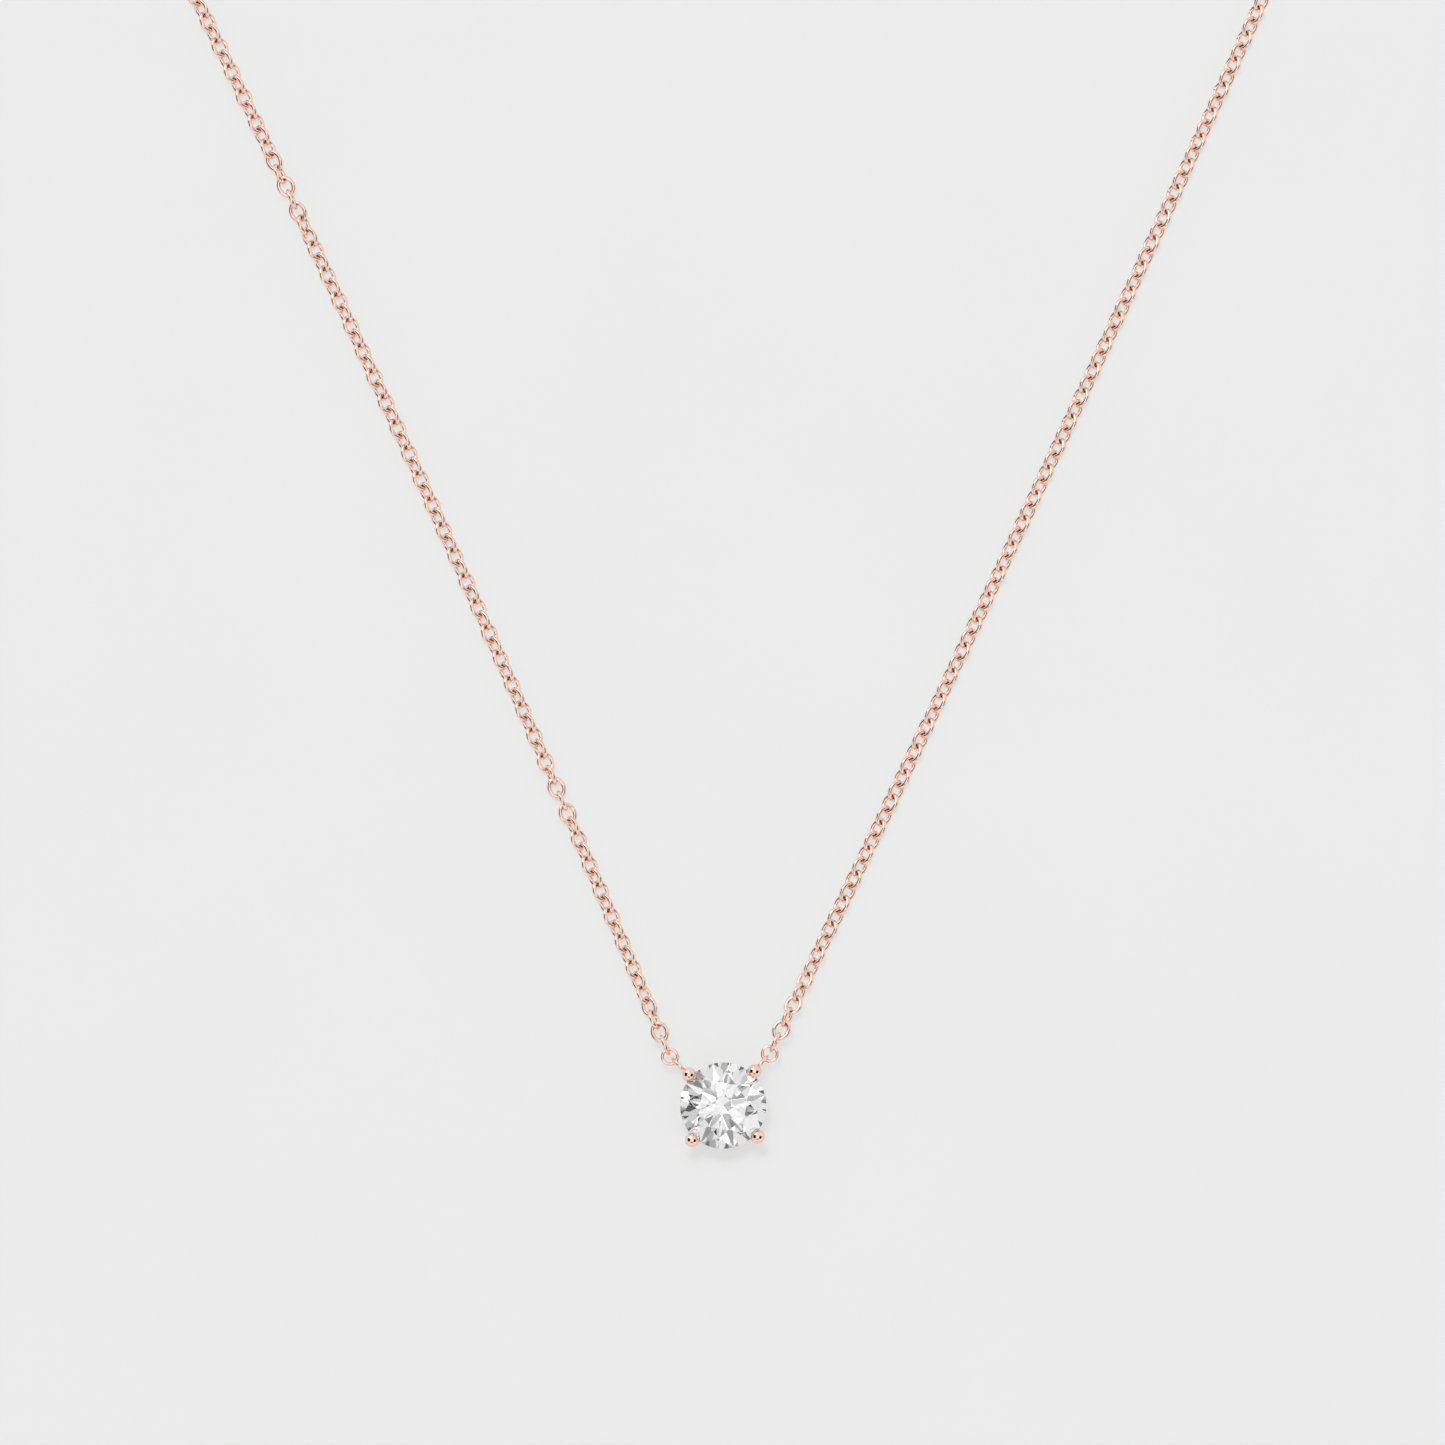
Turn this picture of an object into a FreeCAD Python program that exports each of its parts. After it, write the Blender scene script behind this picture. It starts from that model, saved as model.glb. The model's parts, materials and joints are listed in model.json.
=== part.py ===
import FreeCAD, Part
import math
import os

# A fine chain necklace: a round brilliant in a four-prong head, a plain cable chain, a lobster clasp.
# It lies flat, as if set down on a table. Millimetres, +Z up, +Y from the pendant towards the clasp.
# The origin is the middle of the whole necklace's footprint, at table height.
# Every chain link is a solid of its own. Links are grouped in short segments that bend as one.
# A segment has two nodes: every second link, which carries collision, and the links between them.

Vector = FreeCAD.Vector

# ---- driving dimensions -------------------------------------------------------------------------

# stone: a round brilliant, with its angles as a cutter states them
STONE_DIAMETER = 6.5
TABLE_RATIO = 0.57
CROWN_ANGLE = 34.5
PAVILION_ANGLE = 40.8
GIRDLE_THICKNESS = 0.16
STAR_LENGTH = 0.5
LOWER_HALF_LENGTH = 0.77
CULET_WIDTH = 0.10
CULET_HEIGHT = 0.45
STONE_TURN = 14.0

# head: four ball-tipped prongs on two round rails
HEAD_Y = -88.9
HEAD_TURN = 2.8
PRONG_COUNT = 4
PRONG_WIRE = 0.72
PRONG_FOOT_RADIUS = 2.7
BALL_DIAMETER = 1.10
BALL_RADIUS_FROM_CENTRE = 3.49
BALL_ABOVE_GIRDLE = 0.15
RAIL_WIRE = 0.60
RAIL_SINK = 0.15
BASE_RAIL_HEIGHT = 0.25
GALLERY_HEIGHT = 1.70

# small loops soldered to the two upper prongs, and the round rings that hang in them
LOOP_WIRE = 0.28
LOOP_OUTER_DIAMETER = 1.80
LEFT_LOOP_END_RADIUS = 5.29
RIGHT_LOOP_END_RADIUS = 5.09
LOOP_HEIGHT = 1.85
RING_WIRE = 0.26
RING_OUTER_DIAMETER = 1.39

# chain: oval cable links of round wire
LINK_WIRE = 0.32
LINK_LENGTH = 1.712
LINK_WIDTH = 1.40
LINK_END_RADIUS = 0.44
PLAY = 0.012
RING_PLAY = 0.05
EYE_PLAY = 0.08
LEFT_ROLLS = (35.0, -52.0)
RIGHT_ROLLS = (42.0, -42.0)
LINKS_PER_SIDE = 203
SEGMENTS_PER_SIDE = 10
DESCENT = 7.0
ASCENT = 4.0
END_LIFT = 0.03
BED_CLEARANCE = 0.01
STEERING = 0.25

# clasp end: jump ring, lobster clasp with a sprung lever, and the end ring that it catches
JUMP_RING_WIRE = 0.35
JUMP_RING_OUTER_DIAMETER = 1.80
JUMP_RING_ROLL = 70.0
END_RING_WIRE = 0.50
END_RING_OUTER_DIAMETER = 3.80
END_RING_ROLL = 32.0
CLASP_THICKNESS = 1.80
CLASP_EYE_RADIUS = 0.90
CLASP_EYE_WIRE = 0.50
CLASP_NECK_AT = 2.0
CLASP_NECK_RADIUS = 1.25
CLASP_CLAW_AT = 6.5
CLASP_CLAW_RADIUS = 2.55
CLASP_CLAW_INSIDE_RADIUS = 1.45
CLASP_EDGE = 0.35
PIN_AT = (3.0, -0.35)
PIN_DIAMETER = 0.50
SLOT_HEIGHT = 0.90
GATE_REACH = 4.10
GATE_CHEEK_REACH = 2.0
GATE_SPREAD = (-62.0, -4.0)
SLOT_START = -80.0
LEVER_TRAVEL = 24.0
LEVER_CLEARANCE = 0.06
LEVER_ARM_WIDTH = 0.80
LEVER_ARM_ANGLE = -24.0
LEVER_KNUCKLE_RADIUS = 0.62
LEVER_TAB_AT = 1.95
LEVER_TAB_LENGTH = 1.45
LEVER_TAB_WIDTH = 0.80
SPRING_THICKNESS = 0.12
SPRING_START = (1.75, 0.42)
SPRING_LENGTH = 1.90

# the way that each side of the chain lies: (length, turn to the left in degrees), from the pendant
LEFT_START_HEADING = 112.48
LEFT_COURSE = ((87.65, 3.28), (32.8, 0.0), (93.05, -115.76))
RIGHT_START_HEADING = 64.12
RIGHT_COURSE = ((87.65, 1.67), (31.83, 0.0), (94.62, 114.21))

# where the links stand off their usual roll: (distance along the chain, most roll, reach)
LEFT_TWISTS = ((0.0, 52.0, 4.0), (21.1, -37.0, 2.2), (70.9, 50.0, 2.9))
RIGHT_TWISTS = ((0.0, 44.0, 4.0),)

# ---- worked out from them -----------------------------------------------------------------------

STONE_RADIUS = STONE_DIAMETER / 2
GIRDLE_BOTTOM = CULET_HEIGHT + STONE_RADIUS * math.tan(math.radians(PAVILION_ANGLE))
GIRDLE_TOP = GIRDLE_BOTTOM + GIRDLE_THICKNESS
TABLE_CORNER = STONE_RADIUS * TABLE_RATIO
STONE_TOP = GIRDLE_TOP + (STONE_RADIUS - TABLE_CORNER) * math.tan(math.radians(CROWN_ANGLE))
BALL_HEIGHT = GIRDLE_TOP + BALL_ABOVE_GIRDLE
HEAD = Vector(0, HEAD_Y, 0)
UP = Vector(0, 0, 1)

LINK_REACH = (LINK_LENGTH - LINK_WIRE) / 2
LINK_HALF_WIDTH = (LINK_WIDTH - LINK_WIRE) / 2
RING_REACH = (RING_OUTER_DIAMETER - RING_WIRE) / 2
JUMP_RING_REACH = (JUMP_RING_OUTER_DIAMETER - JUMP_RING_WIRE) / 2
END_RING_REACH = (END_RING_OUTER_DIAMETER - END_RING_WIRE) / 2
LINK_PITCH = 2 * LINK_REACH - LINK_WIRE - PLAY


def direction(heading, slope=0.0):
    """A unit vector at a heading in degrees from +X, which climbs at slope degrees."""
    flat = math.cos(math.radians(slope))
    across = math.cos(math.radians(heading)) * flat
    along = math.sin(math.radians(heading)) * flat
    return Vector(across, along, math.sin(math.radians(slope)))


def polar(radius, angle, height):
    """A point at a radius and an angle in degrees about the head's own axis."""
    turn = math.radians(angle)
    return Vector(radius * math.cos(turn), radius * math.sin(turn), height)


# ---- chain: where each link lies ----------------------------------------------------------------

class Loop:
    """One closed wire loop of the chain: its middle, the way it runs, its width and its normal."""

    def __init__(self, centre, along, roll, reach, wire):
        self.centre = centre
        self.along = along
        self.reach = reach
        self.wire = wire
        level = UP.cross(along)
        level.normalize()
        rise = along.cross(level)
        turn = math.radians(roll)
        self.across = level * math.cos(turn) + rise * math.sin(turn)
        self.normal = along.cross(self.across)

    def far_wire(self):
        return self.centre + self.along * self.reach

    def matrix(self):
        x, y, z, at = self.along, self.across, self.normal, self.centre
        return FreeCAD.Matrix(
            x.x, y.x, z.x, at.x,
            x.y, y.y, z.y, at.y,
            x.z, y.z, z.z, at.z,
            0, 0, 0, 1,
        )


def next_loop(last, along, roll, reach, wire, play=PLAY):
    """The loop that is linked through the far end of the last one."""
    between = last.along + along
    between.normalize()
    gap = (last.wire + wire) / 2 + play
    centre = last.far_wire() - between * gap + along * reach
    return Loop(centre, along, roll, reach, wire)


def heading_at(distance, start, course):
    """The heading at a distance along a course of arcs and straight runs."""
    heading = start
    for length, turn in course:
        part = min(distance, length)
        heading += turn * part / length
        distance -= part
        if distance <= 0:
            break
    return heading


def smooth(share):
    share = min(max(share, 0.0), 1.0)
    return share * share * (3 - 2 * share)


def twist_at(distance, twists):
    """How far the links are rolled off their usual angle, in degrees."""
    total = 0.0
    for middle, most, reach in twists:
        total += most * math.exp(-(((distance - middle) / reach) ** 2))
    return total


def height_at(distance, length, rolls, twists, last_height):
    """The height of the links' middles: on the table, or held up near the head and the clasp."""
    twist = twist_at(distance, twists)
    tilt = min(max(abs(roll + twist) for roll in rolls), 90)
    bed = LINK_WIRE / 2 + LINK_HALF_WIDTH * math.sin(math.radians(tilt)) + BED_CLEARANCE
    bed += (LOOP_HEIGHT - bed) * (1 - smooth(distance / DESCENT))
    return bed + (last_height - bed) * smooth(1 - (length - distance) / ASCENT)


def lay_chain(ring, start, course, rolls, twists, last_height):
    """The links of one side, from the pendant's ring to the clasp end."""
    length = LINKS_PER_SIDE * LINK_PITCH
    step = LINK_PITCH / 2
    links = []
    last = ring
    for number in range(LINKS_PER_SIDE):
        distance = (number + 0.5) * LINK_PITCH
        before = height_at(distance - step, length, rolls, twists, last_height)
        after = height_at(distance + step, length, rolls, twists, last_height)
        climb = (after - before) / LINK_PITCH
        if links:
            target = height_at(distance - LINK_PITCH, length, rolls, twists, last_height)
            climb += (target - last.centre.z) * STEERING
        heading = heading_at(distance, start, course)
        along = direction(heading, math.degrees(math.atan(climb)))
        roll = rolls[number % 2] + twist_at(distance, twists)
        last = next_loop(last, along, roll, LINK_REACH, LINK_WIRE)
        links.append(last)
    return links


def hanging_ring(prong_angle, loop_end, heading):
    """The round ring in a soldered loop. It lies level and runs on towards the chain."""
    outward = direction(prong_angle)
    loop_wire_at = HEAD + outward * (loop_end - LOOP_WIRE / 2) + UP * LOOP_HEIGHT
    near_wire = loop_wire_at - outward * ((LOOP_WIRE + RING_WIRE) / 2 + PLAY)
    centre = near_wire + outward * RING_REACH
    return Loop(centre, direction(heading), 0.0, RING_REACH, RING_WIRE)


def segments(links):
    """The links shared out between the segments, each as (every second link, those between)."""
    share = len(links) / SEGMENTS_PER_SIDE
    cuts = [2 * round(number * share / 2) + 1 for number in range(1, SEGMENTS_PER_SIDE)]
    return [
        (links[first | 1 : last : 2], links[first + first % 2 : last : 2])
        for first, last in zip([0] + cuts, cuts + [len(links)])
    ]


def end_height(reach, roll, wire):
    """How high a rolled ring's middle is when its lower side just clears the table."""
    return reach * math.sin(math.radians(roll)) + wire / 2 + END_LIFT


LEFT_PRONG = 135 + HEAD_TURN
RIGHT_PRONG = 45 + HEAD_TURN
LEFT_RING = hanging_ring(LEFT_PRONG, LEFT_LOOP_END_RADIUS, LEFT_START_HEADING)
RIGHT_RING = hanging_ring(RIGHT_PRONG, RIGHT_LOOP_END_RADIUS, RIGHT_START_HEADING)
CLASP_END_HEIGHT = end_height(JUMP_RING_REACH, JUMP_RING_ROLL, JUMP_RING_WIRE)
RING_END_HEIGHT = end_height(END_RING_REACH, END_RING_ROLL, END_RING_WIRE)
LEFT_LINKS = lay_chain(
    LEFT_RING, LEFT_START_HEADING, LEFT_COURSE, LEFT_ROLLS, LEFT_TWISTS, CLASP_END_HEIGHT
)
RIGHT_LINKS = lay_chain(
    RIGHT_RING, RIGHT_START_HEADING, RIGHT_COURSE, RIGHT_ROLLS, RIGHT_TWISTS, RING_END_HEIGHT
)
JUMP_RING = next_loop(
    LEFT_LINKS[-1],
    direction(0.0),
    -JUMP_RING_ROLL,
    JUMP_RING_REACH,
    JUMP_RING_WIRE,
    RING_PLAY,
)
END_RING = next_loop(
    RIGHT_LINKS[-1],
    direction(180.0),
    -END_RING_ROLL,
    END_RING_REACH,
    END_RING_WIRE,
    RING_PLAY,
)
EYE_GAP = (CLASP_EYE_WIRE + JUMP_RING_WIRE) / 2 + EYE_PLAY
CLASP = Vector(
    JUMP_RING.far_wire().x - EYE_GAP + CLASP_EYE_RADIUS,
    JUMP_RING.far_wire().y,
    0,
)
PIN = Vector(PIN_AT[0], PIN_AT[1], 0)


# ---- wire shapes --------------------------------------------------------------------------------

def bent_wire(centre, radius, start, sweep, wire):
    """A stretch of round wire bent about a centre in the XY plane; angles in degrees."""
    at = centre + polar(radius, start, 0)
    disc = Part.Face(Part.Wire(Part.makeCircle(wire / 2, at, direction(start + 90))))
    return disc.revolve(centre, UP, sweep)


def oval_link():
    """A chain link in the XY plane, its length along X: two end bends and two long side bends."""
    end_at = LINK_REACH - LINK_END_RADIUS
    spare = LINK_HALF_WIDTH - LINK_END_RADIUS
    side_at = (end_at**2 - spare**2) / (2 * spare)
    side_radius = LINK_HALF_WIDTH + side_at
    meet = math.degrees(math.atan2(side_at, end_at))
    side_sweep = 180 - 2 * meet
    bends = [
        bent_wire(Vector(end_at, 0, 0), LINK_END_RADIUS, -meet, 2 * meet, LINK_WIRE),
        bent_wire(Vector(0, -side_at, 0), side_radius, meet, side_sweep, LINK_WIRE),
        bent_wire(Vector(-end_at, 0, 0), LINK_END_RADIUS, 180 - meet, 2 * meet, LINK_WIRE),
        bent_wire(Vector(0, side_at, 0), side_radius, 180 + meet, side_sweep, LINK_WIRE),
    ]
    return bends[0].multiFuse(bends[1:]).removeSplitter().Solids[0]


def placed(shape, loop):
    moved = shape.copy()
    moved.Placement = FreeCAD.Placement(loop.matrix())
    return moved


def round_ring(loop):
    return placed(Part.makeTorus(loop.reach, loop.wire / 2), loop)


# ---- stone --------------------------------------------------------------------------------------

def cut_by_plane(solid, points, inside):
    """What is left of a solid on the inner side of the plane through three points."""
    size = 4 * STONE_DIAMETER
    normal = (points[1] - points[0]).cross(points[2] - points[0])
    normal.normalize()
    if normal.dot(inside - points[0]) > 0:
        normal = normal * -1
    block = Part.makeBox(size, size, size, Vector(-size / 2, -size / 2, 0))
    block.Placement = FreeCAD.Placement(points[0], FreeCAD.Rotation(UP, normal))
    return solid.cut(block)


def facet_planes():
    """Three points on each facet of the brilliant, about its own axis: crown, then pavilion."""
    radius = STONE_RADIUS
    crown = math.tan(math.radians(CROWN_ANGLE))
    pavilion = math.tan(math.radians(PAVILION_ANGLE))
    half = 22.5
    edge_middle = TABLE_CORNER * math.cos(math.radians(half))
    star = edge_middle + STAR_LENGTH * (radius - edge_middle)
    star_height = GIRDLE_TOP + (radius - star * math.cos(math.radians(half))) * crown
    low = (1 - LOWER_HALF_LENGTH) * radius
    low_height = GIRDLE_BOTTOM - (radius - low * math.cos(math.radians(half))) * pavilion
    planes = []
    for main in range(0, 360, 45):
        tip = polar(radius, main, GIRDLE_TOP)
        corner = polar(TABLE_CORNER, main, STONE_TOP)
        planes.append((tip, corner, polar(star, main + half, star_height)))
        next_corner = polar(TABLE_CORNER, main + 45, STONE_TOP)
        planes.append((corner, next_corner, polar(star, main + half, star_height)))
        bottom = polar(radius, main, GIRDLE_BOTTOM)
        planes.append((bottom, polar(0, 0, CULET_HEIGHT), polar(low, main + half, low_height)))
        for side in (-half, half):
            middle = polar(radius, main + side, GIRDLE_TOP)
            planes.append((tip, middle, polar(star, main + side, star_height)))
            under = polar(radius, main + side, GIRDLE_BOTTOM)
            planes.append((bottom, under, polar(low, main + side, low_height)))
    return planes


def make_stone():
    inside = Vector(0, 0, GIRDLE_TOP)
    culet = CULET_HEIGHT + CULET_WIDTH / 2 * math.tan(math.radians(PAVILION_ANGLE))
    blank = Part.makeCylinder(STONE_RADIUS, STONE_TOP - culet, Vector(0, 0, culet))
    for points in facet_planes():
        blank = cut_by_plane(blank, points, inside)
    stone = blank.Solids[0]
    stone.rotate(Vector(0, 0, 0), UP, STONE_TURN)
    stone.translate(HEAD)
    return stone


# ---- head ---------------------------------------------------------------------------------------

def below_table():
    size = 3 * STONE_DIAMETER
    block = Part.makeBox(size, size, size, Vector(-size / 2, -size / 2, -size))
    block.translate(HEAD)
    return block


def make_prong(angle, seat):
    """A round wire that leans out from the base to a ball tip, notched for the stone."""
    foot = HEAD + polar(PRONG_FOOT_RADIUS, angle, 0)
    ball = HEAD + polar(BALL_RADIUS_FROM_CENTRE, angle, BALL_HEIGHT)
    lean = ball - foot
    lean.normalize()
    start = foot - lean * PRONG_WIRE
    rod = Part.makeCylinder(PRONG_WIRE / 2, (ball - start).Length, start, lean)
    tip = Part.makeSphere(BALL_DIAMETER / 2, ball)
    return rod.fuse(tip).cut(seat).cut(below_table()).Solids[0]


def rail_radius(height):
    """The radius at which a rail is set into the inner sides of the leaning prongs."""
    lean = (BALL_RADIUS_FROM_CENTRE - PRONG_FOOT_RADIUS) / BALL_HEIGHT
    return PRONG_FOOT_RADIUS + lean * height - (PRONG_WIRE + RAIL_WIRE) / 2 + RAIL_SINK


def make_rail(height, prongs):
    rail = Part.makeTorus(rail_radius(height), RAIL_WIRE / 2, HEAD + UP * height)
    return rail.cut(Part.makeCompound(prongs)).cut(below_table())


def make_soldered_loop(angle, loop_end, prong):
    reach = (LOOP_OUTER_DIAMETER - LOOP_WIRE) / 2
    centre = HEAD + polar(loop_end - LOOP_WIRE / 2 - reach, angle, LOOP_HEIGHT)
    loop = Part.makeTorus(reach, LOOP_WIRE / 2, centre, direction(angle + 90))
    return max(loop.cut(prong).Solids, key=lambda solid: solid.Volume)


# ---- clasp --------------------------------------------------------------------------------------

def disc_at(x, y, radius, bottom, height):
    return Part.makeCylinder(radius, height, Vector(x, y, bottom))


def bar(start, end, width, bottom, height):
    """An upright-sided bar with round ends between two points in plan."""
    run = Vector(end[0] - start[0], end[1] - start[1], 0)
    block = Part.makeBox(run.Length, width, height, Vector(0, -width / 2, bottom))
    turn = math.degrees(math.atan2(run.y, run.x))
    block.rotate(Vector(0, 0, 0), UP, turn)
    block.translate(Vector(start[0], start[1], 0))
    ends = [disc_at(x, y, width / 2, bottom, height) for x, y in (start, end)]
    return block.multiFuse(ends).removeSplitter()


def drop_outline(height):
    """The clasp's outer shape in plan: a round claw drawn in to a narrow neck."""
    span = CLASP_CLAW_AT - CLASP_NECK_AT
    flare = math.degrees(math.asin((CLASP_CLAW_RADIUS - CLASP_NECK_RADIUS) / span))
    claw_at, neck_at = Vector(CLASP_CLAW_AT, 0, 0), Vector(CLASP_NECK_AT, 0, 0)
    side = 90 + flare
    claw_top = claw_at + polar(CLASP_CLAW_RADIUS, side, 0)
    claw_low = claw_at + polar(CLASP_CLAW_RADIUS, -side, 0)
    neck_top = neck_at + polar(CLASP_NECK_RADIUS, side, 0)
    neck_low = neck_at + polar(CLASP_NECK_RADIUS, -side, 0)
    nose = claw_at + Vector(CLASP_CLAW_RADIUS, 0, 0)
    heel = neck_at - Vector(CLASP_NECK_RADIUS, 0, 0)
    edges = [
        Part.Arc(claw_low, nose, claw_top).toShape(),
        Part.LineSegment(claw_top, neck_top).toShape(),
        Part.Arc(neck_top, heel, neck_low).toShape(),
        Part.LineSegment(neck_low, claw_low).toShape(),
    ]
    return Part.Face(Part.Wire(edges)).extrude(Vector(0, 0, height))


def sector(radius, spread, bottom, height):
    """A wedge about the pin, between two angles in degrees."""
    wedge = Part.makeCylinder(radius, height, Vector(0, 0, bottom), UP, spread[1] - spread[0])
    wedge.rotate(Vector(0, 0, 0), UP, spread[0])
    wedge.translate(PIN)
    return wedge


def make_clasp_body():
    """The claw with its eye, a gap on one side for the gate, and a slot that holds the lever."""
    through = CLASP_THICKNESS + 2
    slot_bottom = (CLASP_THICKNESS - SLOT_HEIGHT) / 2
    plate = drop_outline(CLASP_THICKNESS)
    rims = [edge for edge in plate.Edges if abs(edge.tangentAt(edge.FirstParameter).z) < 0.5]
    plate = plate.makeFillet(CLASP_EDGE, rims)
    inside = disc_at(CLASP_CLAW_AT, 0, CLASP_CLAW_INSIDE_RADIUS, -1, through)
    gap = sector(GATE_REACH, GATE_SPREAD, -1, through)
    gap = gap.cut(disc_at(PIN.x, PIN.y, GATE_CHEEK_REACH, -1, through))
    opened = LEVER_ARM_ANGLE + LEVER_TRAVEL
    arm_room = LEVER_ARM_WIDTH + 2 * LEVER_CLEARANCE
    tip = PIN + direction(opened) * (GATE_REACH - arm_room / 2)
    slot = sector(GATE_REACH, (SLOT_START, opened), slot_bottom, SLOT_HEIGHT)
    slot = slot.fuse(bar((PIN.x, PIN.y), (tip.x, tip.y), arm_room, slot_bottom, SLOT_HEIGHT))
    knuckle_room = LEVER_KNUCKLE_RADIUS + 2 * LEVER_CLEARANCE
    slot = slot.fuse(disc_at(PIN.x, PIN.y, knuckle_room, slot_bottom, SLOT_HEIGHT))
    spring_room = bar(SPRING_START, spring_end(), 3 * SPRING_THICKNESS, slot_bottom, SLOT_HEIGHT)
    eye = Part.makeTorus(CLASP_EYE_RADIUS, CLASP_EYE_WIRE / 2, Vector(0, 0, CLASP_THICKNESS / 2))
    body = plate.cut(inside).cut(gap).fuse(eye).cut(slot).cut(spring_room)
    body = body.cut(disc_at(PIN.x, PIN.y, PIN_DIAMETER / 2, -1, through))
    return max(body.Solids, key=lambda solid: solid.Volume)


def make_lever():
    """The gate arm, the knuckle round the pin and the thumb tab, in one piece."""
    height = SLOT_HEIGHT - 2 * LEVER_CLEARANCE
    bottom = (CLASP_THICKNESS - height) / 2
    arm_way = direction(LEVER_ARM_ANGLE)
    reach = GATE_REACH - LEVER_CLEARANCE - LEVER_ARM_WIDTH / 2
    tip = PIN + arm_way * reach
    root = PIN + arm_way * LEVER_TAB_AT
    thumb = root + direction(LEVER_ARM_ANGLE - 90) * LEVER_TAB_LENGTH
    arm = bar((PIN.x, PIN.y), (tip.x, tip.y), LEVER_ARM_WIDTH, bottom, height)
    knuckle = disc_at(PIN.x, PIN.y, LEVER_KNUCKLE_RADIUS, bottom, height)
    tab = bar((root.x, root.y), (thumb.x, thumb.y), LEVER_TAB_WIDTH, bottom, height)
    hole = disc_at(PIN.x, PIN.y, PIN_DIAMETER / 2 + LEVER_CLEARANCE / 2, -1, CLASP_THICKNESS + 2)
    return arm.fuse(knuckle).fuse(tab).cut(hole).removeSplitter().Solids[0]


def spring_end():
    return SPRING_START[0] + SPRING_LENGTH, SPRING_START[1] - SPRING_THICKNESS / 2


def make_spring():
    """A leaf that lies in its own groove and bears on the lever's knuckle."""
    height = SLOT_HEIGHT - 4 * LEVER_CLEARANCE
    bottom = (CLASP_THICKNESS - height) / 2
    return bar(SPRING_START, spring_end(), SPRING_THICKNESS, bottom, height)


def make_pin():
    return disc_at(PIN.x, PIN.y, PIN_DIAMETER / 2, 0.0, CLASP_THICKNESS)


def on_clasp(shape):
    shape.translate(CLASP)
    return shape


# ---- build --------------------------------------------------------------------------------------

def write(name, shape):
    shape.exportStep(os.path.join("parts", name + ".step"))


def main():
    os.makedirs("parts", exist_ok=True)
    stone = make_stone()
    seat = stone.copy()
    prongs = {}
    for number in range(PRONG_COUNT):
        angle = RIGHT_PRONG + 90 * number
        prongs[angle] = make_prong(angle, seat)
        write(f"prong_{number + 1}", prongs[angle])
    write("stone", stone)
    write("base_rail", make_rail(BASE_RAIL_HEIGHT, list(prongs.values())))
    write("gallery_rail", make_rail(GALLERY_HEIGHT, list(prongs.values())))
    loop_left = make_soldered_loop(LEFT_PRONG, LEFT_LOOP_END_RADIUS, prongs[LEFT_PRONG])
    write("soldered_loop_left", loop_left)
    loop_right = make_soldered_loop(RIGHT_PRONG, RIGHT_LOOP_END_RADIUS, prongs[RIGHT_PRONG])
    write("soldered_loop_right", loop_right)
    write("hanging_ring_left", round_ring(LEFT_RING))
    write("hanging_ring_right", round_ring(RIGHT_RING))
    link = oval_link()
    for side, links in (("left", LEFT_LINKS), ("right", RIGHT_LINKS)):
        for number, (every_second, between) in enumerate(segments(links), 1):
            name = f"chain_{side}_{number:02d}"
            write(name, Part.makeCompound([placed(link, loop) for loop in every_second]))
            write(name + "_between", Part.makeCompound([placed(link, loop) for loop in between]))
    write("clasp_jump_ring", round_ring(JUMP_RING))
    write("end_ring", round_ring(END_RING))
    write("clasp_body", on_clasp(make_clasp_body()))
    write("clasp_lever", on_clasp(make_lever()))
    write("clasp_spring", on_clasp(make_spring()))
    write("clasp_pin", on_clasp(make_pin()))


main()
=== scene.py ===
import json
import math
import random

import bmesh
import bpy
import numpy as np
from mathutils import Matrix, Vector


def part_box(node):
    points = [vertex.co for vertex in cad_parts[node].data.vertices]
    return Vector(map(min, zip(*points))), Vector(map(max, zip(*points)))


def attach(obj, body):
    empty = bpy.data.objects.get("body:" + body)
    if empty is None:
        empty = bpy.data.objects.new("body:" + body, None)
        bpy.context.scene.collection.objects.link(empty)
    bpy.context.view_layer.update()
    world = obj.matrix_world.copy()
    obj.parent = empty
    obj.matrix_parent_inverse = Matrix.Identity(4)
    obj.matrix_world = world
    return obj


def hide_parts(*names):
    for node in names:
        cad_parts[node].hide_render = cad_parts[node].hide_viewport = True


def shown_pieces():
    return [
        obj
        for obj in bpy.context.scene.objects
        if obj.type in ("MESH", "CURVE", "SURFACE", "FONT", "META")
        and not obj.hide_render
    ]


# A fine chain necklace laid flat on a pale table. Metres, in the CAD frame: +Z up, +Y towards the clasp.
# Every wire loop is rebuilt finer than its CAD solid, at the place and size that its CAD solid has.

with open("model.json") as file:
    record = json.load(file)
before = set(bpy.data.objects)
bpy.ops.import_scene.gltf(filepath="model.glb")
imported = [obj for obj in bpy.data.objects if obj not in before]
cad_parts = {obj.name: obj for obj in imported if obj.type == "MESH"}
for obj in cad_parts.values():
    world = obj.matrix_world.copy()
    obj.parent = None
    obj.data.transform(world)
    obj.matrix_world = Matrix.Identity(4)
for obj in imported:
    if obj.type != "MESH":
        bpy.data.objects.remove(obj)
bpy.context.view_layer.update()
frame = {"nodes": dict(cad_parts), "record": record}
nodes = frame["nodes"]
node_body = {node: body for body, names in frame["record"]["behaviour"]["bodies"].items() for node in names}
rng = random.Random(7)

MM = 0.001
UP = Vector((0, 0, 1))

# the stone: a round brilliant, with its angles as a cutter states them
TABLE_RATIO = 0.57
CROWN_ANGLE = 34.5
PAVILION_ANGLE = 40.8
GIRDLE_THICKNESS = 0.16 * MM
STAR_LENGTH = 0.5
LOWER_HALF_LENGTH = 0.77
CULET_WIDTH = 0.10 * MM
STONE_TURN = 14.0
GIRDLE_SIDES = 256
FACET_EDGE = 2.5

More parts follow.
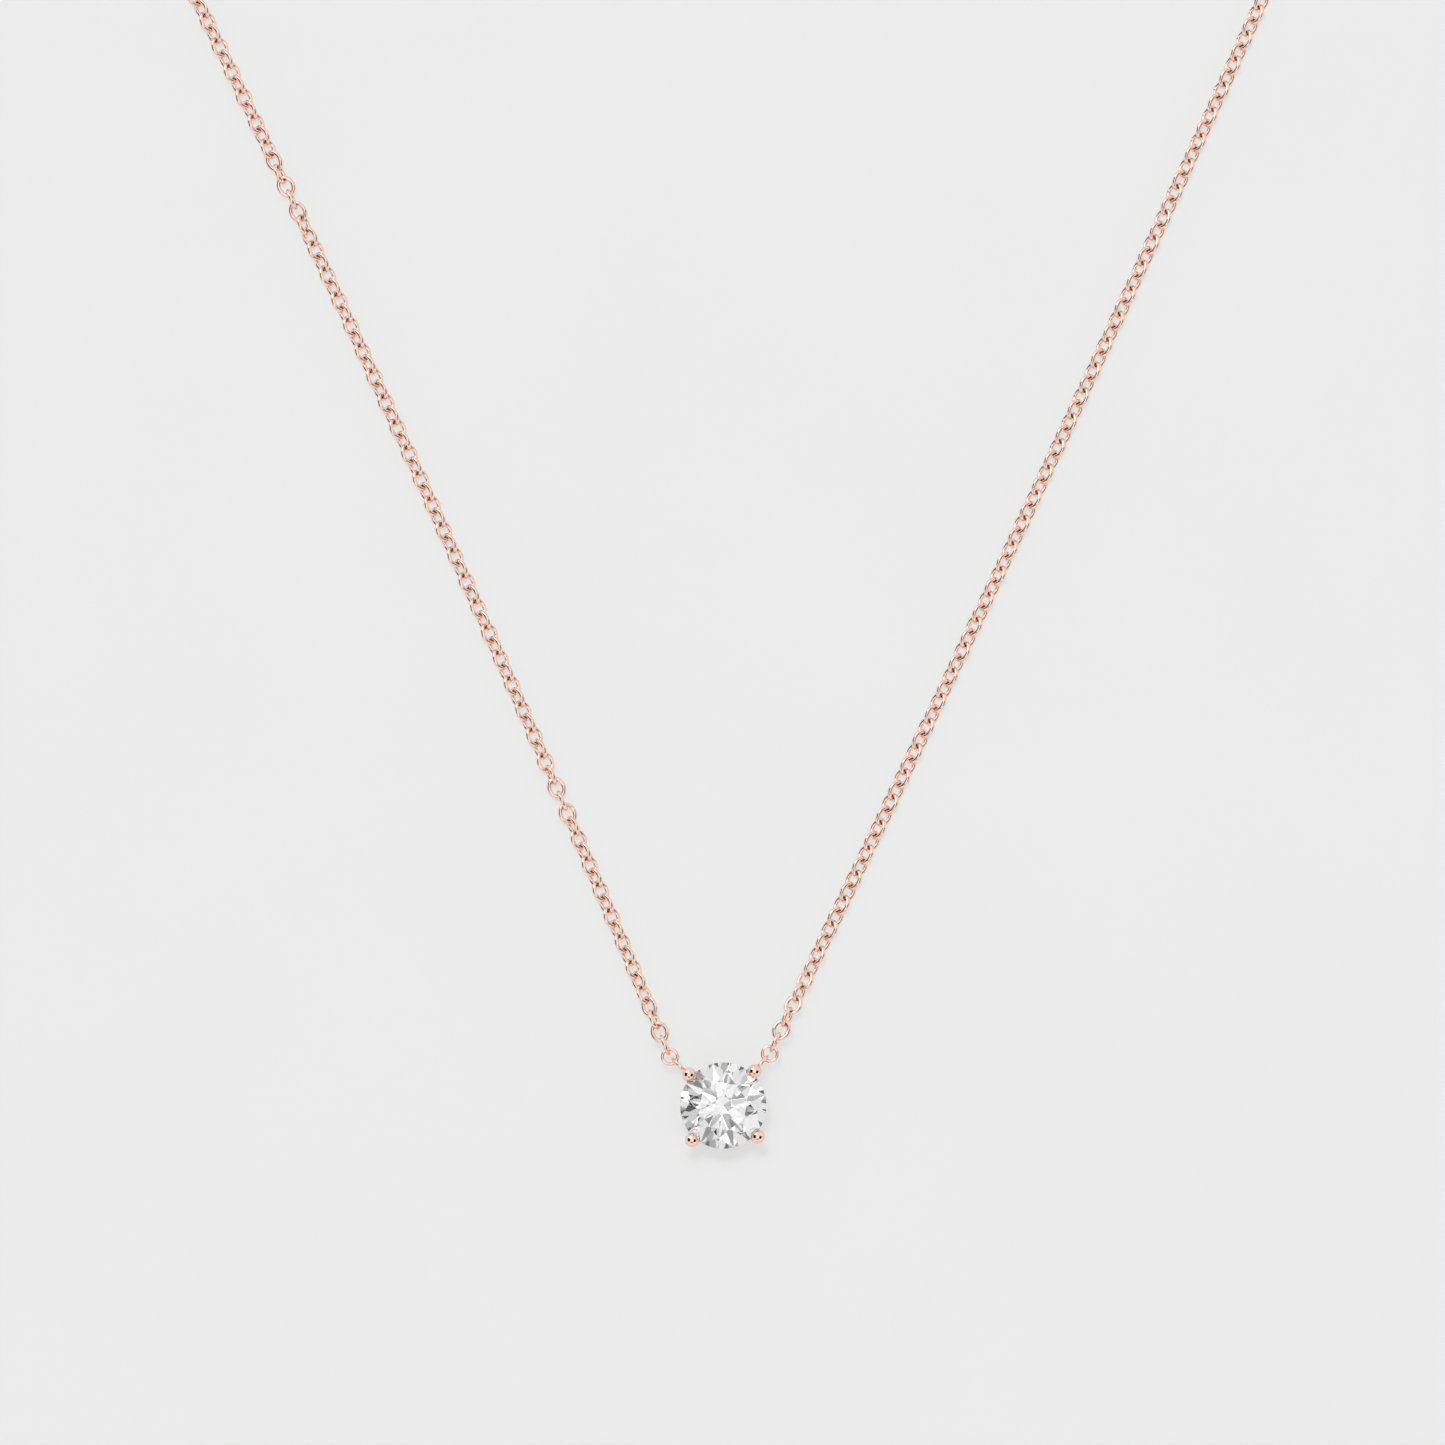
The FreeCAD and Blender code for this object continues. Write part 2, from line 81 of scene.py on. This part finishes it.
# wire work
LINK_END_RADIUS = 0.44 * MM
LINK_STEPS = 72
LINK_SIDES = 20
SOLDER_BULGE = 0.05
SOLDER_REACH = 0.09 * MM
ROLL_JITTER = 3.5
BALL_RADIUS = 0.55 * MM
PRONG_RADIUS = 0.36 * MM
RAIL_RADIUS = 0.30 * MM
LOOP_RADIUS = 0.14 * MM
LOOP_REACH = 0.76 * MM
# where a prong swells before its ball: (millimetres before the join, times the wire's radius)
NECK_PROFILE = ((0.30, 1.0), (0.12, 1.01), (0.04, 1.03))

# the view: straight down, with the pendant low in the frame
VIEW_WIDTH = 109.2 * MM
VIEW_OFFSET = Vector((-0.05 * MM, 28.87 * MM, 0))
CAMERA_HEIGHT = 1.2

# the light: a white tent, and cards that light the table or show in the metal and the stone:
# (name, azimuth, degrees off the vertical, distance, width, height, strength, what it is for)
TENT_GLOW = 0.90
TABLE_GLOW = 0.625
CARDS = (
    ("high_lamp", 105.0, 17.0, 1.7, 0.36, 0.36, 66.0, "table"),
    ("overhead_lamp", 0.0, 0.0, 1.7, 1.0, 1.0, 1.5, "metal"),
    ("key_lamp", 128.0, 50.0, 1.6, 1.1, 0.9, 2.4, "both"),
    ("side_lamp", -30.0, 62.0, 1.6, 0.9, 0.8, 1.5, "both"),
    ("wide_left_flag", 176.0, 52.0, 1.05, 0.94, 0.88, 0.01, "metal"),
    ("wide_right_flag", -14.0, 46.0, 1.05, 0.82, 0.80, 0.01, "metal"),
    ("low_front_flag", -96.0, 40.0, 1.05, 0.44, 0.28, 0.01, "metal"),
    ("left_flag", 186.0, 46.0, 1.0, 0.34, 0.46, 0.42, "stone"),
    ("right_flag", -8.0, 42.0, 1.0, 0.30, 0.42, 0.16, "stone"),
    ("front_flag", -100.0, 34.0, 1.0, 0.36, 0.20, 0.02, "stone"),
    ("back_flag", 70.0, 58.0, 1.0, 0.30, 0.20, 0.04, "stone"),
    ("lens_flag", 0.0, 0.0, 1.25, 0.26, 0.26, 0.04, "stone"),
)
TABLE_HALF_WIDTH = 3.0

# a spiral of small cards of different greys, for the stone to mirror: their distance, width and height,
# and how strong one after another is
FACET_CARDS = 20
FACET_CARD = (1.15, 0.24, 0.30)
FACET_LEVELS = (0.52, 1.5, 0.28, 0.95, 0.42, 1.8, 0.70, 0.18, 1.25)
GOLDEN_ANGLE = 137.5
FACET_TILT = 9.0
FACET_TILT_STEP = 3.2

# tones, as two stops of a ramp each
GOLD_TONES = [(0.3, (0.935, 0.660, 0.542, 1)), (0.7, (0.960, 0.694, 0.576, 1))]
# painted shade: the ramp that darkens the gold's colour where it is occluded, in creases and where links
# touch
CREVICE_SHADE_TONES = [(0.24, (0.16, 0.075, 0.045, 1)), (0.56, (1.0, 1.0, 1.0, 1))]
STONE_TONES = [(0.3, (0.985, 0.985, 0.99, 1)), (0.7, (1.0, 1.0, 1.0, 1))]
TABLE_TONES = [(0.3, (0.128, 0.128, 0.128, 1)), (0.7, (0.132, 0.132, 0.132, 1))]


# ---- meshes -------------------------------------------------------------------------------------

def mesh_object(name, points, faces, smooth=True):
    mesh = bpy.data.meshes.new(name)
    mesh.from_pydata([tuple(p) for p in points], [], faces)
    mesh.update()
    mesh.shade_smooth() if smooth else mesh.shade_flat()
    piece = bpy.data.objects.new(name, mesh)
    bpy.context.scene.collection.objects.link(piece)
    return piece


def grid_faces(rows, columns, start=0):
    """Quads over a grid that closes on itself both ways."""
    row = np.arange(rows)[:, None]
    column = np.arange(columns)[None, :]
    a = row * columns + column
    b = row * columns + (column + 1) % columns
    c = ((row + 1) % rows) * columns + (column + 1) % columns
    d = ((row + 1) % rows) * columns + column
    return (np.stack([a, d, c, b], axis=-1).reshape(-1, 4) + start).tolist()


def stand_for(piece, node):
    """The piece takes the place of a CAD node and moves with its body."""
    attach(piece, node_body[node])
    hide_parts(node)


def node_mesh(node):
    """Points and triangles of a CAD node, with points at one place merged."""
    mesh = nodes[node].data
    mesh.calc_loop_triangles()
    points = np.empty(len(mesh.vertices) * 3)
    mesh.vertices.foreach_get("co", points)
    points = points.reshape(-1, 3)
    triangles = np.empty(len(mesh.loop_triangles) * 3, np.int64)
    mesh.loop_triangles.foreach_get("vertices", triangles)
    triangles = triangles.reshape(-1, 3)
    places, where = np.unique(np.round(points, 8), axis=0, return_inverse=True)
    return places, where.reshape(-1)[triangles]


def solids_in(node):
    """The separate solids of a CAD node, each as (points, triangles)."""
    points, triangles = node_mesh(node)
    label = np.arange(len(points))
    while True:
        least = label[triangles].min(axis=1)
        fresh = label.copy()
        for corner in range(3):
            np.minimum.at(fresh, triangles[:, corner], least)
        fresh = fresh[fresh]
        if (fresh == label).all():
            break
        label = fresh
    solids = []
    for one in np.unique(label):
        mine = triangles[label[triangles[:, 0]] == one]
        solids.append((points[label == one], points[mine]))
    return solids


class Loop:
    """The middle, axes and size of one closed wire loop, measured from its CAD solid."""

    def __init__(self, points, corners):
        middles = corners.mean(axis=1)
        areas = np.linalg.norm(np.cross(corners[:, 1] - corners[:, 0], corners[:, 2] - corners[:, 0]), axis=1)
        centre = (middles * areas[:, None]).sum(axis=0) / areas.sum()
        spread = (middles - centre).T @ ((middles - centre) * areas[:, None])
        _, axes = np.linalg.eigh(spread)
        self.along, self.across = axes[:, 2], axes[:, 1]
        self.normal = np.cross(self.along, self.across)
        local = (points - centre) @ np.stack([self.along, self.across, self.normal]).T
        low, high = local.min(axis=0), local.max(axis=0)
        self.centre = centre + ((low + high) / 2) @ np.stack([self.along, self.across, self.normal])
        half = (high - low) / 2
        self.wire = half[2]
        self.reach = half[0] - self.wire
        self.half_width = half[1] - self.wire

    def roll(self, degrees):
        turn = math.radians(degrees)
        across, normal = self.across, self.normal
        self.across = across * math.cos(turn) + normal * math.sin(turn)
        self.normal = normal * math.cos(turn) - across * math.sin(turn)

    def place(self, local):
        return self.centre + local @ np.stack([self.along, self.across, self.normal])


def oval_path(reach, half_width, end_radius, steps):
    """Points, outward directions and distances round an oval of two end bends and two side bends."""
    end_at = reach - end_radius
    spare = half_width - end_radius
    side_at = (end_at**2 - spare**2) / (2 * spare)
    side_radius = half_width + side_at
    meet = math.atan2(side_at, end_at)
    bends = [
        (end_at, 0.0, end_radius, -meet, 2 * meet),
        (0.0, -side_at, side_radius, meet, math.pi - 2 * meet),
        (-end_at, 0.0, end_radius, math.pi - meet, 2 * meet),
        (0.0, side_at, side_radius, math.pi + meet, math.pi - 2 * meet),
    ]
    total = sum(radius * sweep for _, _, radius, _, sweep in bends)
    places, outward = [], []
    for step in range(steps):
        distance = total * step / steps
        for x, y, radius, start, sweep in bends:
            if distance <= radius * sweep:
                angle = start + distance / radius
                break
            distance -= radius * sweep
        outward.append((math.cos(angle), math.sin(angle)))
        places.append((x + radius * math.cos(angle), y + radius * math.sin(angle)))
    return np.array(places), np.array(outward), total


def wire_loop(loop, path, outward, total, sides, seam_at=None):
    """The surface of a round wire that follows a closed path in the loop's own plane."""
    steps = len(path)
    turn = np.arange(sides) * 2 * math.pi / sides
    radius = np.full(steps, loop.wire)
    if seam_at is not None:
        gap = np.abs(np.arange(steps) / steps - seam_at)
        gap = np.minimum(gap, 1 - gap) * total
        radius = radius * (1 + SOLDER_BULGE * np.exp(-((gap / SOLDER_REACH) ** 2)))
    out = radius[:, None] * np.cos(turn)[None, :]
    x = path[:, 0, None] + outward[:, 0, None] * out
    y = path[:, 1, None] + outward[:, 1, None] * out
    z = radius[:, None] * np.sin(turn)[None, :]
    return loop.place(np.stack([x, y, z], axis=-1).reshape(-1, 3))


def make_chain_segment(node):
    points, faces = [], []
    for solid in solids_in(node):
        loop = Loop(*solid)
        loop.roll(rng.uniform(-ROLL_JITTER, ROLL_JITTER))
        path, outward, total = oval_path(loop.reach, loop.half_width, LINK_END_RADIUS, LINK_STEPS)
        seam_at = rng.choice((0.25, 0.75)) + 0.11
        faces += grid_faces(LINK_STEPS, LINK_SIDES, len(points) * LINK_STEPS * LINK_SIDES)
        points.append(wire_loop(loop, path, outward, total, LINK_SIDES, seam_at))
    piece = mesh_object(node.replace("chain", "links"), np.concatenate(points), faces)
    stand_for(piece, node)


def make_ring(node, name, steps=160, sides=40):
    loop = Loop(*solids_in(node)[0])
    reach = (loop.reach + loop.half_width) / 2
    angle = np.arange(steps) * 2 * math.pi / steps
    outward = np.stack([np.cos(angle), np.sin(angle)], axis=-1)
    surface = wire_loop(loop, outward * reach, outward, 2 * math.pi * reach, sides)
    piece = mesh_object(name, surface, grid_faces(steps, sides))
    stand_for(piece, node)


def torus(name, centre, normal, reach, radius, steps=200, sides=40):
    x_axis = normal.orthogonal().normalized()
    y_axis = normal.cross(x_axis)
    points = []
    for step in range(steps):
        a = 2 * math.pi * step / steps
        out = x_axis * math.cos(a) + y_axis * math.sin(a)
        for side in range(sides):
            b = 2 * math.pi * side / sides
            points.append(centre + out * (reach + radius * math.cos(b)) + normal * radius * math.sin(b))
    return mesh_object(name, points, grid_faces(steps, sides))


def cut_below(piece, point, normal, ring=False):
    """Cuts off what lies on the far side of a plane and closes the cut, with a flat ring on a ring."""
    work = bmesh.new()
    work.from_mesh(piece.data)
    everything = work.verts[:] + work.edges[:] + work.faces[:]
    made = bmesh.ops.bisect_plane(work, geom=everything, plane_co=point, plane_no=normal, clear_outer=True)
    edges = [item for item in made["geom_cut"] if isinstance(item, bmesh.types.BMEdge)]
    if ring:
        bmesh.ops.bridge_loops(work, edges=edges)
    else:
        bmesh.ops.holes_fill(work, edges=edges)
    bmesh.ops.recalc_face_normals(work, faces=work.faces[:])
    work.to_mesh(piece.data)
    work.free()


def sharpen(piece, angle=35.0):
    """Keeps edges sharper than an angle sharp, and shades the rest smooth."""
    piece.data.shade_smooth()
    piece.data.set_sharp_from_angle(angle=math.radians(angle))


def subtract(piece, cutter):
    change = piece.modifiers.new("notch", "BOOLEAN")
    change.object = cutter
    change.operation = "DIFFERENCE"
    change.solver = "EXACT"
    graph = bpy.context.evaluated_depsgraph_get()
    graph.update()
    result = bpy.data.meshes.new_from_object(piece.evaluated_get(graph))
    piece.modifiers.clear()
    piece.data = result


# ---- stone --------------------------------------------------------------------------------------

def polar(radius, angle, height):
    return Vector((radius * math.cos(math.radians(angle)), radius * math.sin(math.radians(angle)), height))


def facet_planes(radius, girdle_low, girdle_high, top, culet):
    """A point on each facet of the brilliant and the facet's outward normal."""
    crown = math.tan(math.radians(CROWN_ANGLE))
    pavilion = math.tan(math.radians(PAVILION_ANGLE))
    corner_at = radius * TABLE_RATIO
    half = 22.5
    shrink = math.cos(math.radians(half))
    star = corner_at * shrink + STAR_LENGTH * (radius - corner_at * shrink)
    star_height = girdle_high + (radius - star * shrink) * crown
    low = (1 - LOWER_HALF_LENGTH) * radius
    low_height = girdle_low - (radius - low * shrink) * pavilion
    triples = []
    for main in range(0, 360, 45):
        tip = polar(radius, main, girdle_high)
        corner = polar(corner_at, main, top)
        star_tip = polar(star, main + half, star_height)
        bottom = polar(radius, main, girdle_low)
        triples.append((tip, corner, star_tip))
        triples.append((corner, polar(corner_at, main + 45, top), star_tip))
        triples.append((bottom, polar(0, 0, culet), polar(low, main + half, low_height)))
        for side in (-half, half):
            turn = main + side
            triples.append((tip, polar(radius, turn, girdle_high), polar(star, turn, star_height)))
            triples.append((bottom, polar(radius, turn, girdle_low), polar(low, turn, low_height)))
    inside = Vector((0, 0, girdle_high))
    planes = []
    for a, b, c in triples:
        normal = (b - a).cross(c - a).normalized()
        planes.append((a, -normal if normal.dot(inside - a) > 0 else normal))
    return planes


def make_stone():
    low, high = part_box("stone")
    centre = (low + high) / 2
    radius = (high.x - low.x) / 2
    crown = math.tan(math.radians(CROWN_ANGLE))
    pavilion = math.tan(math.radians(PAVILION_ANGLE))
    top = high.z
    girdle_high = top - radius * (1 - TABLE_RATIO) * crown
    girdle_low = girdle_high - GIRDLE_THICKNESS
    culet = girdle_low - radius * pavilion
    floor = culet + CULET_WIDTH / 2 * pavilion
    points, faces = [], []
    for height in (floor, top):
        points += [polar(radius, 360 * k / GIRDLE_SIDES, height) for k in range(GIRDLE_SIDES)]
    for k in range(GIRDLE_SIDES):
        after = (k + 1) % GIRDLE_SIDES
        faces.append((k, after, GIRDLE_SIDES + after, GIRDLE_SIDES + k))
    faces.append(tuple(reversed(range(GIRDLE_SIDES))))
    faces.append(tuple(range(GIRDLE_SIDES, 2 * GIRDLE_SIDES)))
    stone = mesh_object("brilliant", points, faces, smooth=False)
    for point, normal in facet_planes(radius, girdle_low, girdle_high, top, culet):
        cut_below(stone, point, normal)
    turned = Matrix.Rotation(math.radians(STONE_TURN), 4, "Z")
    stone.data.transform(Matrix.Translation((centre.x, centre.y, 0)) @ turned)
    sharpen(stone, FACET_EDGE)
    stand_for(stone, "stone")
    return stone, Vector((centre.x, centre.y, 0))


# ---- head ---------------------------------------------------------------------------------------

def revolve(name, start, axis, profile, sides=72):
    """A surface of revolution about an axis, from (distance along, radius) pairs, closed at both ends."""
    x_axis = axis.orthogonal().normalized()
    y_axis = axis.cross(x_axis)
    points, faces = [], []
    for along, radius in profile:
        for side in range(sides):
            a = 2 * math.pi * side / sides
            points.append(start + axis * along + (x_axis * math.cos(a) + y_axis * math.sin(a)) * radius)
    for row in range(len(profile) - 1):
        for side in range(sides):
            after = (side + 1) % sides
            here, there = row * sides, (row + 1) * sides
            faces.append((here + side, here + after, there + after, there + side))
    faces.append(tuple(reversed(range(sides))))
    last = (len(profile) - 1) * sides
    faces.append(tuple(last + side for side in range(sides)))
    return mesh_object(name, points, faces)


def make_prong(node, name, seat):
    """A leaning round wire that swells into a ball tip, notched where it holds the stone."""
    points, _ = node_mesh(node)
    top = points[:, 2].max()
    upper = points[points[:, 2] > top - 0.6 * BALL_RADIUS]
    middle = (upper.min(axis=0) + upper.max(axis=0)) / 2
    ball = Vector((middle[0], middle[1], top - BALL_RADIUS))
    lower = points[points[:, 2] < 0.02 * MM]
    foot = Vector((*((lower.min(axis=0) + lower.max(axis=0)) / 2)[:2], 0))
    axis = (ball - foot).normalized()
    length = (ball - foot).length
    profile = [(-PRONG_RADIUS, PRONG_RADIUS), (0.0, PRONG_RADIUS), (length * 0.4, PRONG_RADIUS)]
    neck = math.acos(PRONG_RADIUS / BALL_RADIUS)
    join = length - BALL_RADIUS * math.sin(neck)
    for before, swell in NECK_PROFILE:
        profile.append((join - before * MM, PRONG_RADIUS * swell))
    steps = 28
    for step in range(steps):
        a = -neck * 0.88 + (math.pi / 2 - 0.03 + neck * 0.88) * step / (steps - 1)
        profile.append((length + BALL_RADIUS * math.sin(a), BALL_RADIUS * math.cos(a)))
    piece = revolve(name, foot, axis, profile)
    cut_below(piece, Vector((0, 0, 0)), -UP)
    subtract(piece, seat)
    sharpen(piece)
    stand_for(piece, node)


def make_head(head, seat):
    for number in range(1, 5):
        make_prong(f"prong_{number}", f"ball_prong_{number}", seat)
    for node, name in (("base_rail", "foot_rail"), ("gallery_rail", "gallery_wire")):
        low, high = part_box(node)
        reach = (high.x - low.x) / 2 - RAIL_RADIUS
        rail = torus(name, Vector((head.x, head.y, high.z - RAIL_RADIUS)), UP, reach, RAIL_RADIUS)
        if low.z < 0.01 * MM:
            cut_below(rail, Vector((0, 0, 0)), -UP, ring=True)
            sharpen(rail)
        stand_for(rail, node)
    for side in ("left", "right"):
        node = "soldered_loop_" + side
        points, _ = node_mesh(node)
        radial = points[:, :2] - np.array(head[:2])
        far = np.linalg.norm(radial, axis=1).max()
        way = Vector((*radial.mean(axis=0), 0)).normalized()
        low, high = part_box(node)
        centre = head + way * (far - LOOP_RADIUS - LOOP_REACH)
        centre.z = (low.z + high.z) / 2
        name = "prong_loop_" + side
        loop = torus(name, centre, way.cross(UP), LOOP_REACH, LOOP_RADIUS, steps=120, sides=32)
        stand_for(loop, node)


# ---- materials ----------------------------------------------------------------------------------

def new_material(name):
    material = bpy.data.materials.new(name)
    material.use_nodes = True
    return material, material.node_tree.nodes, material.node_tree.links


def noise(nodes_, links, scale, detail, vector):
    node = nodes_.new("ShaderNodeTexNoise")
    node.inputs["Scale"].default_value = scale
    node.inputs["Detail"].default_value = detail
    links.new(vector, node.inputs["Vector"])
    return node


def ramp(nodes_, links, source, stops):
    node = nodes_.new("ShaderNodeValToRGB")
    node.color_ramp.elements[0].position, node.color_ramp.elements[0].color = stops[0]
    node.color_ramp.elements[1].position, node.color_ramp.elements[1].color = stops[1]
    links.new(source, node.inputs["Fac"])
    return node


def rose_gold(name, smoothest, roughest):
    """Polished rose gold: uneven in tone, with fine polishing marks, and painted shade that darkens its
    colour in creases and where the links touch.
    """
    material, n, links = new_material(name)
    shader = n["Principled BSDF"]
    shader.inputs["Metallic"].default_value = 1.0
    place = n.new("ShaderNodeTexCoord").outputs["Object"]
    tone = noise(n, links, 900.0, 2.0, place)
    colour = ramp(n, links, tone.outputs["Fac"], GOLD_TONES)
    # painted shade: ambient occlusion darkens the base colour in creases and where links touch
    crevice_shade = n.new("ShaderNodeAmbientOcclusion")
    crevice_shade.samples = 8
    crevice_shade.inputs["Distance"].default_value = 0.16 * MM
    painted_shade = ramp(n, links, crevice_shade.outputs["AO"], CREVICE_SHADE_TONES)
    mixed = n.new("ShaderNodeMix")
    mixed.data_type = "RGBA"
    mixed.blend_type = "MULTIPLY"
    mixed.inputs["Factor"].default_value = 1.0
    links.new(colour.outputs["Color"], mixed.inputs["A"])
    links.new(painted_shade.outputs["Color"], mixed.inputs["B"])
    links.new(mixed.outputs["Result"], shader.inputs["Base Color"])
    marks = noise(n, links, 5200.0, 4.0, place)
    rough = n.new("ShaderNodeMapRange")
    rough.inputs["To Min"].default_value = smoothest
    rough.inputs["To Max"].default_value = roughest
    links.new(marks.outputs["Fac"], rough.inputs["Value"])
    links.new(rough.outputs["Result"], shader.inputs["Roughness"])
    bump = n.new("ShaderNodeBump")
    bump.inputs["Strength"].default_value = 0.05
    bump.inputs["Distance"].default_value = 0.01 * MM
    links.new(marks.outputs["Fac"], bump.inputs["Height"])
    links.new(bump.outputs["Normal"], shader.inputs["Normal"])
    return material


def clear_stone():
    """A colourless stone: clear, bright and sharp, with the faintest grain in its polish."""
    material, n, links = new_material("colourless_brilliant")
    shader = n["Principled BSDF"]
    shader.inputs["Transmission Weight"].default_value = 1.0
    shader.inputs["IOR"].default_value = 2.417
    place = n.new("ShaderNodeTexCoord").outputs["Object"]
    grain = noise(n, links, 2500.0, 2.0, place)
    colour = ramp(n, links, grain.outputs["Fac"], STONE_TONES)
    links.new(colour.outputs["Color"], shader.inputs["Base Color"])
    rough = n.new("ShaderNodeMapRange")
    rough.inputs["To Min"].default_value = 0.0
    rough.inputs["To Max"].default_value = 0.012
    links.new(grain.outputs["Fac"], rough.inputs["Value"])
    links.new(rough.outputs["Result"], shader.inputs["Roughness"])
    return material


def table_top():
    """A smooth lit table: part of its brightness is its own, so shadows on it stay faint."""
    material, n, links = new_material("pale_table")
    shader = n["Principled BSDF"]
    shader.inputs["Roughness"].default_value = 0.8
    shader.inputs["Specular IOR Level"].default_value = 0.0
    place = n.new("ShaderNodeTexCoord").outputs["Object"]
    grain = noise(n, links, 40.0, 2.0, place)
    colour = ramp(n, links, grain.outputs["Fac"], TABLE_TONES)
    links.new(colour.outputs["Color"], shader.inputs["Base Color"])
    shader.inputs["Emission Color"].default_value = (1, 1, 1, 1)
    shader.inputs["Emission Strength"].default_value = TABLE_GLOW
    return material


def paint(piece, material):
    piece.data.materials.clear()
    piece.data.materials.append(material)


# ---- studio -------------------------------------------------------------------------------------

def glow(name, strength):
    """A soft lamp face, a little brighter in the middle than at its edges."""
    material, n, links = new_material(name)
    shader = n["Principled BSDF"]
    shader.inputs["Base Color"].default_value = (0, 0, 0, 1)
    shader.inputs["Specular IOR Level"].default_value = 0.0
    place = n.new("ShaderNodeTexCoord").outputs["Generated"]
    fade = n.new("ShaderNodeTexGradient")
    fade.gradient_type = "QUADRATIC_SPHERE"
    shift = n.new("ShaderNodeMapping")
    shift.inputs["Location"].default_value = (-0.5, -0.5, 0)
    links.new(place, shift.inputs["Vector"])
    links.new(shift.outputs["Vector"], fade.inputs["Vector"])
    level = n.new("ShaderNodeMapRange")
    level.inputs["From Max"].default_value = 0.6
    level.inputs["To Min"].default_value = strength * 0.8
    level.inputs["To Max"].default_value = strength * 1.15
    links.new(fade.outputs["Fac"], level.inputs["Value"])
    shader.inputs["Emission Color"].default_value = (1, 1, 1, 1)
    links.new(level.outputs["Result"], shader.inputs["Emission Strength"])
    return material


def flat_sheet(name, across, along):
    """A flat rectangle about the origin, from its half sizes."""
    corners = [(-across, -along, 0), (across, -along, 0), (across, along, 0), (-across, along, 0)]
    return mesh_object(name, corners, [(0, 1, 2, 3)], smooth=False)


def card(middle, name, azimuth, tilt, distance, width, height, strength, use):
    """A glowing or dark card that faces the piece, tilted off the vertical, that the camera doesn't see."""
    sheet = flat_sheet(name, width / 2, height / 2)
    flat = math.sin(math.radians(tilt))
    turn = math.radians(azimuth)
    way = Vector((flat * math.cos(turn), flat * math.sin(turn), math.cos(math.radians(tilt))))
    sheet.location = middle + way * distance
    sheet.rotation_euler = way.to_track_quat("Z", "Y").to_euler()
    sheet.visible_camera = False
    sheet.visible_shadow = False
    sheet.visible_diffuse = use == "table"
    sheet.visible_glossy = use in ("metal", "both")
    sheet.visible_transmission = use in ("stone", "both")
    paint(sheet, glow(name, strength))


def make_studio(head):
    scene = bpy.context.scene
    world = bpy.data.worlds.new("studio")
    world.use_nodes = True
    world.node_tree.nodes["Background"].inputs["Color"].default_value = (1, 1, 1, 1)
    world.node_tree.nodes["Background"].inputs["Strength"].default_value = TENT_GLOW
    scene.world = world
    scene.view_settings.view_transform = "Standard"

    floor = flat_sheet("table", TABLE_HALF_WIDTH, TABLE_HALF_WIDTH)
    paint(floor, table_top())

    middle = head + VIEW_OFFSET
    for values in CARDS:
        card(middle, *values)
    for number in range(FACET_CARDS):
        name = f"facet_card_{number:02d}"
        level = FACET_LEVELS[number % len(FACET_LEVELS)]
        tilt = FACET_TILT + FACET_TILT_STEP * number
        card(middle, name, GOLDEN_ANGLE * number, tilt, *FACET_CARD, level, "stone")

    camera = bpy.data.cameras.new("camera")
    camera.sensor_width = 36.0
    camera.lens = camera.sensor_width * CAMERA_HEIGHT / VIEW_WIDTH
    camera.clip_start = 0.01
    camera.clip_end = 10.0
    viewer = bpy.data.objects.new("camera", camera)
    viewer.location = middle + UP * CAMERA_HEIGHT
    scene.collection.objects.link(viewer)
    scene.camera = viewer


# ---- build --------------------------------------------------------------------------------------

gold = rose_gold("polished_rose_gold", 0.05, 0.12)
ball_gold = rose_gold("burnished_rose_gold", 0.015, 0.04)
stone, head = make_stone()
seat = stone.copy()
seat.data = stone.data.copy()
seat.parent = None
bpy.context.scene.collection.objects.link(seat)
make_head(head, seat)
bpy.data.objects.remove(seat)
for node in sorted(nodes):
    if node.startswith("chain_"):
        make_chain_segment(node)
make_ring("hanging_ring_left", "round_ring_left")
make_ring("hanging_ring_right", "round_ring_right")
make_ring("clasp_jump_ring", "jump_ring")
make_ring("end_ring", "catch_ring")
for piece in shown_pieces():
    paint(piece, ball_gold if piece.name.startswith("ball_prong") else gold)
paint(stone, clear_stone())
for node in ("clasp_body", "clasp_lever", "clasp_pin", "clasp_spring"):
    paint(nodes[node], gold)
    sharpen(nodes[node], 30.0)
make_studio(head)
